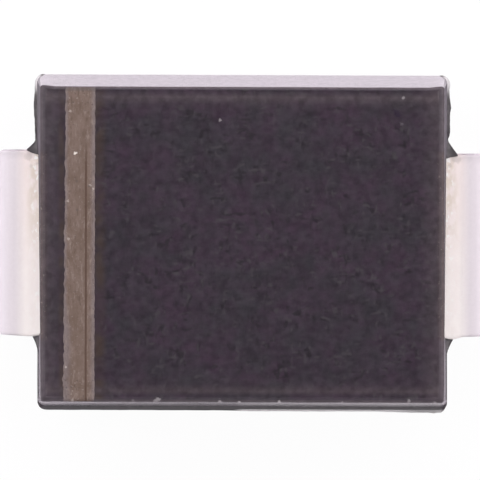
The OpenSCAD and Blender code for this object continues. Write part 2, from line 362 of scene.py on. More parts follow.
class CaseOutline:
    """Rings of points round the case, from the edge of the underside up to the edge of the top face, each
    anticlockwise from the front left corner."""

    def __init__(self, x_lines, y_lines):
        front, front_turn = outline_side(x_lines, 225)
        right, right_turn = outline_side(y_lines, 315)
        back, back_turn = outline_side(x_lines, 45)
        left, left_turn = outline_side(y_lines, 135)
        along_x, along_y = np.ones(len(front)), np.ones(len(right))
        self.share_x = np.concatenate([front, along_y, -back, -along_y])
        self.share_y = np.concatenate([-along_x, right, along_x, -left])
        turn = np.concatenate([front_turn, right_turn, back_turn, left_turn])
        self.out_x, self.out_y = np.cos(turn), np.sin(turn)
        self.columns, self.rows, self.count = len(front), len(right), len(turn)
        self.on_end = np.abs(self.out_x) > SIDE_FACING
        self.on_front = self.out_y < -SIDE_FACING
        self.straight_end = np.abs(self.out_x) > 0.99
        self.front = self.share_y < 0
        a, b, r = half_sizes(PARTING_HEIGHT, self.front)
        self.x = self.share_x * (a - r) + self.out_x * r
        self.y = self.share_y * (b - r) + self.out_y * r
        self.rings = []
        self.add_lower_wall()
        self.flash = self.add_parting_line()
        self.add_upper_wall()
        self.add_top_edge()

    def add(self, a, b, r, z, push=0):
        """Adds a ring of these half sides and corner radius, pushed outwards."""
        x = self.share_x * (a - r) + self.out_x * (r + push)
        y = self.share_y * (b - r) + self.out_y * (r + push)
        self.rings.append(np.stack([x, y, z + 0 * x], 1))

    def add_lower_wall(self):
        """Rounded edge of the underside, and the wall up to the terminals."""
        low_a, _, _ = half_sizes(RECESS_HEIGHT, False)
        bottom = underside_height(np.where(self.on_end, low_a, self.share_x * underside_reach()))
        a, b, r = half_sizes(bottom, self.front)
        inset = flat_inset(EDGE_RADIUS, LOWER_DRAFT)
        for angle in np.radians(np.linspace(-90, -math.degrees(LOWER_DRAFT), 7)):
            reach = EDGE_RADIUS * math.cos(angle) - inset
            z = bottom + EDGE_RADIUS * (1 + math.sin(angle))
            self.add(np.where(self.on_end, low_a, a) + reach, b + reach, r, z)
        for share in np.linspace(0, 1, 12)[1:]:
            z = (bottom + EDGE_RADIUS) * (1 - share) + LOWER_WALL_TOP * share
            self.add(*half_sizes(z, self.front), z)

    def add_parting_line(self):
        """Webs, lip and ledges round the parting line; the answer is the lip's reach along the front."""
        web = web_reach(self.x, self.y) * self.straight_end
        lip = lip_reach(self.x, self.y, self.out_x, self.on_front)
        for z, web_share, lip_share in PARTING_RINGS:
            a, b, r = half_sizes(z, self.front)
            b = b + (FRONT_LEDGE - FLASH_OVERLAP) * self.front * (z == FLASH_HEIGHT)
            recess = end_recess(self.x, self.y, z) * self.straight_end * (z > LEDGE_HEIGHT)
            push = np.maximum(web * web_share, lip * lip_share)
            rise = WEB_RISE * smooth(web, 0, 0.01) * (z > LEDGE_HEIGHT) * (z < WEB_TOP)
            self.add(a, b, r, z + rise, np.where(web * web_share > 0, push, push - recess))
        return lip * self.on_front

    def top_radius(self):
        """Radius of the rounded edge of the top, larger along the front."""
        return TOP_EDGE_RADIUS + (FRONT_EDGE_RADIUS - TOP_EDGE_RADIUS) * smooth(self.share_y, -0.9, -1)

    def add_upper_wall(self):
        """Wall from the parting line to the rounded edge of the top."""
        end = TOP_HEIGHT - self.top_radius() - UPPER_WALL_MARGIN
        for share in (*np.linspace(0, 1, 16), 1.02):
            z = UPPER_WALL_START * (1 - share) + end * share
            self.add(*half_sizes(z, self.front), z, -end_recess(self.x, self.y, z) * self.straight_end)

    def add_top_edge(self):
        """Rounded edge of the top."""
        radius = self.top_radius()
        a, b, r = half_sizes(TOP_HEIGHT, self.front)
        a_flat = a - (flat_inset(TOP_EDGE_RADIUS, UPPER_END_DRAFT) - TOP_EDGE_RADIUS + END_ROUNDING)
        b_flat = b - flat_inset(radius, np.where(self.front, FRONT_DRAFT, BACK_DRAFT))
        for angle in np.linspace((UPPER_END_DRAFT + BACK_DRAFT) / 2, math.pi / 2, EDGE_STEPS + 1):
            out = math.cos(angle)
            z = TOP_HEIGHT - radius + radius * math.sin(angle)
            self.add(a_flat + END_ROUNDING * out, b_flat + radius * out, r, z)

    def uneven_points(self):
        """Points of all the rings, with the walls not quite even."""
        points = np.concatenate(self.rings)
        levels = len(self.rings)
        level = np.repeat(np.arange(levels), self.count)
        tremor = ripples(points, WALL_TREMOR) * (level > 3) * (level < levels - 3)
        points[:, 0] += np.tile(self.out_x, levels) * tremor
        points[:, 1] += np.tile(self.out_y, levels) * tremor
        return points

    def sides(self, ring):
        """Front, right, back and left side of a ring, each from its left or front end."""
        columns, rows = self.columns, self.rows
        right = ring[columns : columns + rows + 1]
        back = ring[columns + rows : 2 * columns + rows + 1][::-1]
        return ring[: columns + 1], right, back, ring[-np.arange(rows + 1) % self.count]

    def cap_index(self, level, first_inner):
        """Point numbers of the grid that closes a ring, whose inner points are counted from a first one."""
        inner = np.arange((self.columns - 1) * (self.rows - 1)).reshape(self.columns - 1, -1)
        index = np.pad(first_inner + inner, 1)
        ring = level * self.count + np.arange(self.count)
        index[:, 0], index[-1], index[:, -1], index[0] = self.sides(ring)
        return index

    def cap_grid(self, level):
        """Grid of points that fills a ring."""
        front, right, back, left = self.sides(self.rings[level])
        u = ((front[:, 0] - front[0, 0]) / (front[-1, 0] - front[0, 0]))[:, None, None]
        v = ((left[:, 1] - left[0, 1]) / (left[-1, 1] - left[0, 1]))[None, :, None]
        corners = ((1 - u) * (1 - v) * front[0] + u * (1 - v) * front[-1]
                   + (1 - u) * v * back[0] + u * v * back[-1])
        return ((1 - v) * front[:, None] + v * back[:, None]
                + (1 - u) * left[None] + u * right[None] - corners)


def case_lines():
    """Grid lines along the case and across it, close together where its form is fine."""
    low_a, _, _ = half_sizes(RECESS_HEIGHT, False)
    x_end = low_a - CORNER_RADIUS
    y_end = HALF_WIDTH - CORNER_RADIUS
    step = RECESS_X * x_end / underside_reach()
    mark = (0, EJECTOR_RADIUS - EJECTOR_SLOPE, EJECTOR_RADIUS)
    x_stops = (*mark, 1.0, step - EDGE_RADIUS, step - 0.03, step - 0.012, step, step + 0.003, 1.90, 1.98,
               x_end - CORNER_MARGIN, x_end)
    y_stops = (*mark, *WEB_LINES, 1.52, 1.60, y_end - CORNER_MARGIN, y_end)
    return both_sides(spaced(x_stops, CASE_GRID_STEP)), both_sides(spaced(y_stops, CASE_GRID_STEP))


def round_off(points, radius, half_x, half_y):
    """Moves the grid lines in the middle so that the rectangle of these half sides becomes a circle; the
    answer is each point's ring, 1 on the circle."""
    x, y = points[..., 0], points[..., 1]
    ux, uy = x / half_x, y / half_y
    ring = np.maximum(np.abs(ux), np.abs(uy))
    blend = smooth(ring, 1.7, 1.05)
    disc_x = radius * ux * np.sqrt(1 - np.clip((uy / np.maximum(ring, 1)) ** 2, 0, 1) / 2)
    disc_y = radius * uy * np.sqrt(1 - np.clip((ux / np.maximum(ring, 1)) ** 2, 0, 1) / 2)
    points[..., 0] = x + (disc_x - x) * blend
    points[..., 1] = y + (disc_y - y) * blend
    return ring


def underside_grid(outline, x_lines, y_lines):
    """Underside of the case, with its ejector mark and the recesses over the feet."""
    grid = outline.cap_grid(0)
    mark_column = CORNER_STEPS + np.argmin(np.abs(x_lines - EJECTOR_RADIUS))
    mark_row = CORNER_STEPS + np.argmin(np.abs(y_lines - EJECTOR_RADIUS))
    ring = round_off(grid, EJECTOR_RADIUS, grid[mark_column, 0, 0], grid[0, mark_row, 1])
    along = outline.share_x[: outline.columns + 1, None] * underside_reach()
    grid[..., 2] = underside_height(along) + EJECTOR_DEPTH * (ring < 0.99)
    return grid


def from_edges(points, edge):
    """Distances of points of the top face from its nearer end, its front edge and its back edge."""
    from_end = edge[:, 0].max() - np.abs(points[:, 0])
    return from_end, points[:, 1] - edge[:, 1].min(), edge[:, 1].max() - points[:, 1]


def top_grid(outline):
    """Top face of the case, slightly lower along its edges, and nowhere quite flat."""
    grid = outline.cap_grid(-1)
    points = grid.reshape(-1, 3)
    from_end, from_front, from_back = from_edges(points, outline.rings[-1])
    rim = 0.0022 * smooth(from_back, 0.13, 0.05) + 0.0016 * smooth(from_front, 0.17, 0.08)
    rim += 0.0020 * smooth(from_end, 0.11, 0.02)
    uneven = ripples(points, (0.0010, 0.55, 1), (0.0004, 0.16, 2))
    inside = np.minimum(from_end, np.minimum(from_front, from_back))
    points[:, 2] -= rim * smooth(inside, 0, 0.02) - uneven * smooth(inside, 0, 0.06)
    return grid


def lean(points):
    """Points of the case after its slight skew, with the back corners of the top filled out."""
    x, y, z = points.T
    to_corner = smooth(np.abs(x), 2.00, 2.13) * smooth(y, 1.50, 1.66)
    leaning = points.copy()
    leaning[:, 1] -= CASE_SKEW * x
    leaning[:, 1] += CORNER_FILL * to_corner * smooth(z, PARTING_HEIGHT, TOP_HEIGHT)
    return leaning


def at_parting(z):
    """1 at the height of the parting line, 0 above and below it."""
    return smooth(z, 1.23, 1.24) * smooth(z, 1.266, 1.259)


def rounded_edge(points):
    """Which points lie on the rounded edge of the top, on the lower part of it, and along the front."""
    y, z = points[:, 1], points[:, 2]
    on_edge = smooth(z, TOP_HEIGHT - 0.05, TOP_HEIGHT - 0.03)
    lower_part = smooth(z, TOP_HEIGHT - 0.012, TOP_HEIGHT - 0.024)
    return on_edge, lower_part, smooth(y, -1.50, -1.62)


def flash_values(points, flash):
    """Where flash is thin enough to look pale: along the front, by its reach, and round the back corners."""
    x, y, z = points.T
    thin = smooth(flash, 0.0095, 0.0135) * (1 - 0.5 * smooth(x, 1.55, 2.10))
    past_edge = smooth(y, -HALF_WIDTH + FLASH_OVERLAP - 0.002, -HALF_WIDTH + 0.002)
    past_end = smooth(np.abs(x), HALF_LENGTH - 0.06, HALF_LENGTH - 0.02)
    back_corner = 0.6 * smooth(y, 1.58, 1.74) * past_end
    return at_parting(z) * np.maximum(thin * past_edge, back_corner)


def ledge_and_painted_light_values(points):
    """How pale the ledges along the parting line are, with the front one made paler towards the right as
    painted light where less light falls, and the lower part of the front's rounded edge, whose paleness is a
    painted highlight.
    """
    x, y, z = points.T
    # Painted light: paler towards the right, where the front ledge gets less light
    front_ledge_and_painted_light = 0.18 + 0.14 * smooth(x, -0.5, 0.8)
    on_web = smooth(web_reach(x, y), 0, 0.02)
    beyond_end = np.abs(x) - HALF_LENGTH
    close_by = 0.35 * smooth(beyond_end, 0.02, 0.005) + 0.3 * on_web * smooth(beyond_end, 0.07, 0.02)
    end_ledge = (0.3 + 0.6 * on_web + 0.60 * smooth(y, 1.20, 1.30)) * (0.65 + close_by)
    ledge_and_painted_light = at_parting(z) * np.where(y < 0.5 - HALF_WIDTH, front_ledge_and_painted_light, end_ledge)
    # Painted highlight on the lower part of the front's rounded edge
    on_edge, lower_part, along_front = rounded_edge(points)
    return np.maximum(ledge_and_painted_light, 0.45 * on_edge * lower_part * along_front)


def edge_wear_and_highlight(points, edge):
    """How much paler the rounded edge of the top and the ends just below it are: rubbed wear, and a painted
    highlight for the light that these rounded parts catch.
    """
    x, z = points[:, 0], points[:, 2]
    on_edge, lower_part, along_front = rounded_edge(points)
    # Wear and painted highlight on the rounded edge, shifted to its lower part along the front, where the
    # light line falls
    lightened = on_edge * 0.9 * smooth(z, TOP_HEIGHT - 0.0015, TOP_HEIGHT - 0.006)
    lightened *= 1 + (0.45 * lower_part - 0.25) * along_front
    end = edge[:, 0].max()
    ends = 0.5 * smooth(np.abs(x), end - 0.26, end + 0.02)
    return np.maximum(lightened, ends * (z > TOP_HEIGHT - 0.05))


def top_wear_and_highlight(points, edge):
    """How much paler the top face is along its edges: rubbed wear, and a painted highlight for the light that
    its rounded rim catches.
    """
    from_end, from_front, from_back = from_edges(points, edge)
    # Pale bands just inside the edges: wear, and a painted highlight for the light caught by the rounded rim
    back_spread = np.where(from_back < 0.07, 0.025, 0.055)
    back = 0.60 * hump(from_back, 0.07, back_spread) + 0.12 * smooth(from_back, 0.30, 0.08)
    front = 0.50 * hump(from_front, 0.080, 0.036)
    front += 0.12 * smooth(from_front, 0.29, 0.09) * smooth(from_front, 0.02, 0.07)
    front = np.maximum(front, 0.45 * smooth(from_front, 0.012, 0))
    ends = 0.5 * smooth(from_end, 0.26, -0.02)
    return (back + front + ends) * (points[:, 2] > TOP_HEIGHT - 0.01)


def paint_case(piece, points, outline):
    """Numbers that the compound's material reads: thin flash, pale ledges with painted light, wear with a
    painted highlight, and polish of the front.
    """
    y, z = points[:, 1], points[:, 2]
    edge = outline.rings[-1]
    levels = len(outline.rings)
    inner = np.zeros(len(points) - levels * outline.count)
    flash = np.concatenate([np.tile(outline.flash, levels), inner])
    on_ring = np.arange(len(points)) < levels * outline.count
    add_values(piece, "thin_flash", flash_values(points, flash))
    add_values(piece, "ledge_and_painted_light", ledge_and_painted_light_values(points))
    add_values(piece, "wear_and_highlight", np.where(on_ring, edge_wear_and_highlight(points, edge), top_wear_and_highlight(points, edge)))
    add_values(piece, "polish", smooth(y, -0.7, -1.3) * smooth(z, TOP_HEIGHT - 0.02, TOP_HEIGHT - 0.06))


def case_finishes(outline, face_count):
    """Number of each face's finish: on the walls by the direction that it faces, dull on the top's edge."""
    facing = np.abs(outline.out_x + np.roll(outline.out_x, -1)) / 2
    by_facing = np.where(facing > 0.97, DULL, np.where(facing > 0.7, SATIN, GLOSSY))
    around = np.tile(by_facing, (len(outline.rings) - 1, 1))
    around[-EDGE_STEPS:] = DULL
    around[-EDGE_STEPS : 3 - EDGE_STEPS, outline.out_y > 0.75] = GLOSSY
    finish = np.zeros(face_count, np.int32)
    finish[: around.size] = around.ravel()
    return finish


def make_case():
    """Moulded case: drafted block with rounded edges, recesses over the feet, webs and a lip of flash."""
    x_lines, y_lines = case_lines()
    outline = CaseOutline(x_lines / x_lines[-1], y_lines / y_lines[-1])
    levels = len(outline.rings)
    points = outline.uneven_points()
    faces = turned(ring_faces(levels, outline.count))
    faces += turned(grid_faces(outline.cap_index(0, len(points))))
    points = np.concatenate([points, underside_grid(outline, x_lines, y_lines)[1:-1, 1:-1].reshape(-1, 3)])
    faces += grid_faces(outline.cap_index(levels - 1, len(points)))
    points = np.concatenate([points, top_grid(outline)[1:-1, 1:-1].reshape(-1, 3)])
    piece = make_piece("case", lean(points), faces, crease_degrees=32)
    paint_case(piece, points, outline)
    piece.data.polygons.foreach_set("material_index", case_finishes(outline, len(faces)))
    return piece


# Terminals

def lead_path(pad_width, pad_drop):
    """Middle line of a terminal at the +X end, from the inner end of the foot to the pad: points, headings
    and widths."""
    jog_side = math.copysign(1, pad_drop)
    jog_run = (abs(pad_drop) - 2 * BEND_MID_RADIUS * (1 - math.cos(JOG_ANGLE))) / math.sin(JOG_ANGLE)
    jog_length = 2 * BEND_MID_RADIUS * math.sin(JOG_ANGLE) + jog_run * math.cos(JOG_ANGLE)
    steps = (
        (FOOT_LENGTH - BEND_OUTER_RADIUS, math.pi / 2, LEAD_WIDTH),
        (PARTING_HEIGHT - 2 * BEND_OUTER_RADIUS, math.pi / 2, LEAD_WIDTH),
        (LEG_GAP - BEND_RADIUS + NECK_RUN, jog_side * JOG_ANGLE, LEAD_WIDTH),
        (jog_run, -jog_side * JOG_ANGLE, pad_width),
        (CASE_END - NECK_RUN - jog_length + pad_width / 2, 0, pad_width),
    )
    x, z, heading = OUTER_HALF_LENGTH - FOOT_LENGTH, LEAD_THICKNESS / 2, 0.0
    path = []
    for run, turn, width in steps:
        count = max(2, math.ceil(run / LEAD_STEP))
        for i in range(count + 1):
            gone = run * i / count
            path.append((x + gone * math.cos(heading), z + gone * math.sin(heading), heading, width))
        x, z = x + run * math.cos(heading), z + run * math.sin(heading)
        if turn:
            radius = math.copysign(BEND_MID_RADIUS, turn)
            centre_x = x - radius * math.sin(heading)
            centre_z = z + radius * math.cos(heading)
            count = math.ceil(abs(turn) / BEND_STEP)
            for i in range(1, count + 1):
                bent = heading + turn * i / count
                x = centre_x + radius * math.sin(bent)
                z = centre_z - radius * math.cos(bent)
                if i < count:
                    path.append((x, z, bent, width))
            heading += turn
    return path


def lead_section():
    """Section across a terminal, as points across and inwards, with the outer face on the negative side."""
    half_width, half_thickness = LEAD_WIDTH / 2, LEAD_THICKNESS / 2
    roll_start = half_width - ROLL_WIDTH
    across = both_sides(spaced([0, half_width - 0.10, half_width - 0.04, roll_start], 0.05))
    edge = []
    for t in np.radians(np.linspace(0, 90, 7))[1:]:
        edge.append((roll_start + ROLL_WIDTH * math.sin(t), ROLL_DROP * (1 - math.cos(t)) - half_thickness))
    for t in np.radians(np.linspace(0, 90, 4)):
        y = half_width - INNER_ROUND * (1 - math.cos(t))
        edge.append((y, half_thickness - INNER_ROUND * (1 - math.sin(t))))
    section = [(y, -half_thickness) for y in across] + edge
    section += [(y, half_thickness) for y in across[::-1]]
    section += [(-y, z) for y, z in edge[-2:0:-1]]
    return np.array(section)


def lead_stations(path):
    """Places along a terminal, each with an inset and a slide, which round off the two ends."""
    start = [(path[0], END_ROUND * (1 - math.sin(t)), END_ROUND * (1 - math.cos(t))) for t in END_TURNS]
    end = [(path[-1], END_ROUND * (1 - math.sin(t)), -END_ROUND * (1 - math.cos(t))) for t in END_TURNS]
    return start + [(place, 0, 0) for place in path[1:-1]] + end[::-1]


def lead_ring(section, station, terminal):
    """Section of a terminal at one place along it, notched in the neck to lock into the case."""
    (x, z, heading, width), inset, slide = station
    half_width = LEAD_WIDTH / 2
    from_lock = abs(x - (CASE_END - NECK_RUN / 2))
    in_neck = from_lock < LOCK_RADIUS and abs(z - LEAD_MIDDLE_HEIGHT) < 0.01
    notch = math.sqrt(LOCK_RADIUS ** 2 - from_lock ** 2) if in_neck else 0
    across = section[:, 0] * (width / LEAD_WIDTH) * (1 - (inset + notch) / half_width)
    inwards = section[:, 1] * (1 - inset / (LEAD_THICKNESS / 2))
    sx = x - math.sin(heading) * inwards + math.cos(heading) * slide
    sz = z + math.cos(heading) * inwards + math.sin(heading) * slide
    to_front = np.clip(-section[:, 0] / half_width, 0, 1)
    to_back = np.clip(section[:, 0] / half_width, 0, 1)
    upper = sz > LEAD_MIDDLE_HEIGHT - LEAD_THICKNESS
    widened = terminal["flare"] * to_front * smooth(sx, terminal["flare_start"], FLARE_END) * upper
    trimmed = (widened + terminal["trim"] * to_back) * smooth(sx, *OUT_OF_CASE)
    return np.stack([sx, across + terminal["shift"] - trimmed, sz], 1)


def make_lead(name, terminal):
    """Bent strip of one terminal, with rolled edges on its outer face and rounded ends."""
    section = lead_section()
    stations = lead_stations(lead_path(terminal["pad_width"], terminal["pad_drop"]))
    points = np.concatenate([lead_ring(section, station, terminal) for station in stations])
    count = len(section)
    faces = ring_faces(len(stations), count)
    faces.append(list(range(count)))
    faces.append(list(range(len(points) - count, len(points)))[::-1])
    if terminal["end"] > 0:
        faces = turned(faces)
        from_contact = np.hypot(points[:, 0], points[:, 1])
        on_pad = (points[:, 2] > PARTING_HEIGHT + 0.05) & (np.abs(points[:, 0]) < 0.8)
        pressed = smooth(from_contact, CONTACT_RADIUS + DIMPLE_SLOPE, CONTACT_RADIUS - DIMPLE_SLOPE)
        points[:, 2] -= DIMPLE_HEIGHT * pressed * on_pad
    outside = (np.abs(points[:, 0]) > 2.2) & (points[:, 2] > 0.3)
    points[:, 2] += ripples(points, (*LEAD_TREMOR, terminal["seed"])) * outside
    points[:, 0] *= terminal["end"]
    piece = make_piece(name, points, faces, crease_degrees=50)
    # How near each point is to the back edge, for the painted shade there
    from_back = LEAD_WIDTH / 2 - section[:, 0]
    add_values(piece, "back_edge", np.tile(np.clip(1 - from_back / BACK_SHADE_REACH, 0, 1), len(stations)))
    return piece


# Cathode mark

def band_edges(y):
    """Ragged edges of the mark along its length: of the broad stripe, the groove and the narrow stripe."""
    line = np.stack([0 * y, y, 0 * y], 1)

    def jitter(seed, coarse, fine):
        return ripples(line, (coarse, 0.21, seed), (fine, 0.04, seed + 1))

    left = BAND_LEFT + 0.011 * np.clip(y / 1.2, -1, 1) + jitter(11, 0.005, 0.011)
    left -= 0.018 * hump(y, -1.45, 0.03)
    groove_left = GROOVE_LEFT + 0.002 * y + jitter(13, 0.001, 0.002)
    groove_right = GROOVE_RIGHT + 0.002 * y + jitter(15, 0.001, 0.002)
    right = BAND_RIGHT + 0.004 * y + jitter(17, 0.002, 0.006)
    return left, groove_left, groove_right, right


def end_drop(y):
    """How far the band follows the rounded edges of the top down at its ends."""
    drop = np.zeros_like(y)
    for past, radius in (
        (BAND_ROUNDING[0] - y, FRONT_EDGE_RADIUS),
        (y - BAND_ROUNDING[1], TOP_EDGE_RADIUS),
    ):
        drop += radius - np.sqrt(radius ** 2 - np.clip(past, 0, radius) ** 2)
    return drop


def make_band():
    """Laser-marked band: a broad stripe and a narrow one, a shallow groove between them, all ragged."""
    line = spaced([BAND_FRONT, BAND_BACK], BAND_STEP)
    left, groove_left, groove_right, right = band_edges(line)
    columns = []
    for low, high, count in (
        (left, groove_left, BROAD_FACES),
        (groove_left, groove_right, GROOVE_FACES),
        (groove_right, right, NARROW_FACES),
    ):
        columns += [low + (high - low) * i / count for i in range(count)]
    x = np.array([*columns, right])
    y = np.tile(line, (len(x), 1))
    inside = np.minimum(np.minimum(x - left, right - x), np.minimum(y - BAND_FRONT, BAND_BACK - y))
    from_groove = np.abs(x - (groove_left + groove_right) / 2) / (groove_right - groove_left)
    groove = smooth(from_groove, 0.75, 0.40) * (0.25 + 0.75 * smooth(y, 1.25, 0.75))
    top = np.stack([x, y, np.full_like(x, TOP_HEIGHT + BAND_RISE)], 2)
    grain = ripples(top.reshape(-1, 3), (0.0007, 0.045, 21), (0.0004, 0.02, 22)).reshape(x.shape)
    top[..., 2] += grain - BAND_RIM_DROP * smooth(inside, 0.006, 0) - GROOVE_DEPTH * groove
    top[..., 2] -= end_drop(y)
    bottom = top.copy()
    bottom[..., 2] = TOP_HEIGHT - BAND_DEPTH - end_drop(y)
    index = np.arange(x.size).reshape(x.shape)
    rim = np.concatenate([index[:, 0], index[-1, 1:], index[-2::-1, -1], index[0, -2::-1]])
    faces = grid_faces(index) + turned(grid_faces(index + x.size))
    faces += grid_faces(np.stack([rim, rim + x.size]))
    points = np.concatenate([top.reshape(-1, 3), bottom.reshape(-1, 3)])
    piece = make_piece("band", points, faces, crease_degrees=60)
    left_margin = 0.05 + 0.08 * smooth(y, -0.5, -1.0)
    paler = np.maximum(smooth(x - left, left_margin, 0), smooth(right - x, 0.075, 0.0))
    lightness = 0.5 + 0.35 * paler - 0.5 * groove
    faint = 0.75 * smooth(y, BAND_BACK - 0.055, BAND_BACK - 0.02)
    for name, values in (("lightness", lightness), ("faint", faint)):
        add_values(piece, name, np.tile(values.ravel(), 2))
    return piece


# Materials

class Nodes:
    """Node tree of a material or of the world, with short ways to add nodes to it."""

    def __init__(self, tree):
        self.nodes = tree.nodes
        self.links = tree.links

    def set(self, socket, value):
        """Links a socket to another node's output, or gives it a plain value."""
        if hasattr(value, "is_output"):
            self.links.new(value, socket)
        else:
            socket.default_value = value

    def fill(self, node, **inputs):
        """Sets inputs of a node by their names."""
        for name, value in inputs.items():
            self.set(node.inputs[name.replace("_", " ")], value)
        return node

    def add(self, kind, **inputs):
        """New node, with some of its inputs set."""
        return self.fill(self.nodes.new("ShaderNode" + kind), **inputs)

    def apart(self, vector):
        """The three parts of a vector."""
        return tuple(self.add("SeparateXYZ", Vector=vector).outputs)

    def maths(self, operation, a, b):
        node = self.add("Math")
        node.operation = operation
        self.set(node.inputs[0], a)
        self.set(node.inputs[1], b)
        return node.outputs[0]

    def times(self, a, b):
        return self.maths("MULTIPLY", a, b)

    def rise(self, value, low, high, start=0.0, stop=1.0):
        """Smooth change from start to stop while a value goes from low to high."""
        if low > high:
            low, high, start, stop = high, low, stop, start
        node = self.add("MapRange", Value=value, From_Min=low, From_Max=high, To_Min=start, To_Max=stop)
        node.interpolation_type = "SMOOTHSTEP"
        return node.outputs["Result"]

    def between(self, value, low, high, soft):
        """1 while a value is between low and high, with soft ends."""
        begun = self.rise(value, low - soft, low + soft)
        return self.times(begun, self.rise(value, high + soft, high - soft))


class Looks(Nodes):
    """Material with one principled shader, and short ways to add patterns that work in millimetres."""

    def __init__(self, name, **uniform):
        self.material = bpy.data.materials.new(name)
        self.material.use_nodes = True
        super().__init__(self.material.node_tree)
        self.shader = self.fill(self.nodes["Principled BSDF"], **uniform)
        scale = self.add("VectorMath")
        scale.operation = "SCALE"
        self.fill(scale, Vector=self.add("TexCoord").outputs["Object"], Scale=1 / METRES)
        self.place = scale.outputs[0]
        self.x, self.y, self.z = self.apart(self.place)

    def pattern(self, kind, size, seed, stretch=(1, 1, 1), **inputs):
        """Outputs of a texture with spots of a size."""
        shift = (seed * 3.1, seed * 7.7, seed * 1.3)
        mapping = self.add("Mapping", Vector=self.place, Location=shift, Scale=stretch)
        return self.add(kind, Vector=mapping.outputs[0], Scale=1 / size, **inputs).outputs

    def grain(self, size, detail, roughness, seed, stretch=(1, 1, 1)):
        """Noise from about 0.2 to 0.8 with spots of a size."""
        return self.pattern("TexNoise", size, seed, stretch, Detail=detail, Roughness=roughness)["Fac"]

    def specks(self, size, radius, seed, share):
        """1 at scattered round specks, 0 elsewhere; share is how many of the cells have one."""
        cells = self.pattern("TexVoronoi", size, seed)
        near = self.rise(cells["Distance"], radius / size, 0.4 * radius / size)
        picked = self.rise(self.apart(cells["Color"])[0], 1 - share, 1 - share + 0.01)
        return self.times(near, picked)

    def spot(self, x, y, radius):
        """1 at one ragged spot as seen from above, 0 elsewhere."""
        across = self.maths("SUBTRACT", self.x, x)
        along = self.maths("SUBTRACT", self.y, y)
        square = self.maths("ADD", self.times(across, across), self.times(along, along))
        ragged = self.rise(self.grain(0.8 * radius, 2.0, 0.6, x), 0.30, 0.70, 0.5, 2.2)
        return self.rise(self.times(square, ragged), radius ** 2, 0.1 * radius ** 2)

    def mix(self, share, a, b, how="MIX"):
        """Colour a, with a share of colour b."""
        node = self.add("Mix")
        node.data_type = "RGBA"
        node.blend_type = how
        self.set(node.inputs["Factor"], share)
        for socket, value in ((node.inputs[6], a), (node.inputs[7], b)):
            self.set(socket, value if hasattr(value, "is_output") else (*value, 1))
        return node.outputs[2]

    def tinted(self, color, tint):
        return self.mix(1.0, color, tint, "MULTIPLY")

    def dabs(self, color, spots, paint, where=1.0):
        """Colour with spots of paint on it, each with its place, radius and strength."""
        for x, y, radius, strength in spots:
            spot = self.times(self.spot(x, y, radius), where)
            color = self.mix(self.times(spot, strength), color, paint)
        return color

    def bump(self, height, depth, strength, **below):
        """Surface direction for a pattern of heights, on top of another direction."""
        return self.add("Bump", Height=height, Distance=depth * METRES, Strength=strength, **below).outputs[0]

    def value(self, name):
        """Number that the mesh gives each of its points."""
        node = self.add("Attribute")
        node.attribute_name = name
        return node.outputs["Fac"]

    def finish(self, color, roughness, normal):
        self.fill(self.shader, Base_Color=color, Roughness=roughness, Normal=normal)
        return self.material


# Pale grains of filler on the top of the case and along its front edge: place, radius and strength
CASE_GRAINS = (
    (1.738, 1.579, 0.022, 0.22), (1.717, 1.298, 0.026, 0.05), (-0.239, 1.342, 0.022, 0.22),
    (-1.180, -1.682, 0.022, 0.13), (-0.908, -1.668, 0.034, 0.29), (-0.935, -1.697, 0.038, 0.30),
    (-0.243, -1.702, 0.034, 0.50), (-0.030, -1.712, 0.034, 0.80), (0.404, -1.714, 0.034, 0.80),
    (1.073, -1.714, 0.024, 0.45), (1.796, -1.694, 0.026, 0.28), (2.080, -1.710, 0.024, 0.35),
)
# Dark stain on the top of the case: place, radius and strength
CASE_STAINS = ((1.668, 1.417, 0.060, 1.0),)
# Dark pits and pale strokes in the compound, along the case and across it: size, stretch, seed, levels of the
# noise between which they fade in, and colour
CASE_FLECKS = (
    (0.068, (0.65, 1.2, 1), 3, 0.57, 0.75, (0.0088, 0.0060, 0.0092)),
    (0.068, (1.2, 0.65, 1), 8, 0.57, 0.75, (0.0088, 0.0060, 0.0092)),
    (0.058, (0.65, 1.2, 1), 9, 0.59, 0.80, (0.0325, 0.0270, 0.0325)),
    (0.058, (1.2, 0.65, 1), 10, 0.59, 0.80, (0.0325, 0.0270, 0.0325)),
)


def moulded_color(look, mottle):
    """Fresh compound: purple-grey mottle in patches, clusters of pits and strokes, and scorch by the mark."""
    color = look.mix(mottle, (0.0158, 0.0093, 0.0159), (0.0268, 0.0167, 0.0268))
    tint = look.rise(look.grain(0.19, 1.5, 0.5, 2), 0.30, 0.70)
    color = look.mix(tint, color, look.tinted(color, (0.91, 1.15, 0.98)))
    patch = look.rise(look.grain(0.42, 1.5, 0.5, 12), 0.35, 0.65)
    color = look.mix(patch, look.tinted(color, (0.90, 0.97, 0.94)), look.tinted(color, (1.11, 0.98, 1.09)))
    clusters = look.rise(look.grain(0.22, 2.0, 0.5, 14), 0.40, 0.62, 0.12, 0.85)
    for size, stretch, seed, low, high, paint in CASE_FLECKS:
        flecks = look.rise(look.grain(size, 0.5, 0.5, seed, stretch), low, high)
        color = look.mix(look.times(flecks, clusters), color, paint)
    left_of_mark = look.between(look.x, -1.975, -1.915, 0.030)
    right_of_mark = look.between(look.x, -1.60, -1.49, 0.05)
    on_top = look.rise(look.z, TOP_HEIGHT - 0.06, TOP_HEIGHT - 0.03)
    scorch = look.times(look.maths("MAXIMUM", left_of_mark, right_of_mark), on_top)
    scorch = look.times(scorch, look.rise(tint, 0, 1, 0.3, 0.9))
    color = look.mix(scorch, color, (0.033, 0.020, 0.016))
    return look.dabs(color, CASE_STAINS, (0.010, 0.004, 0.014))


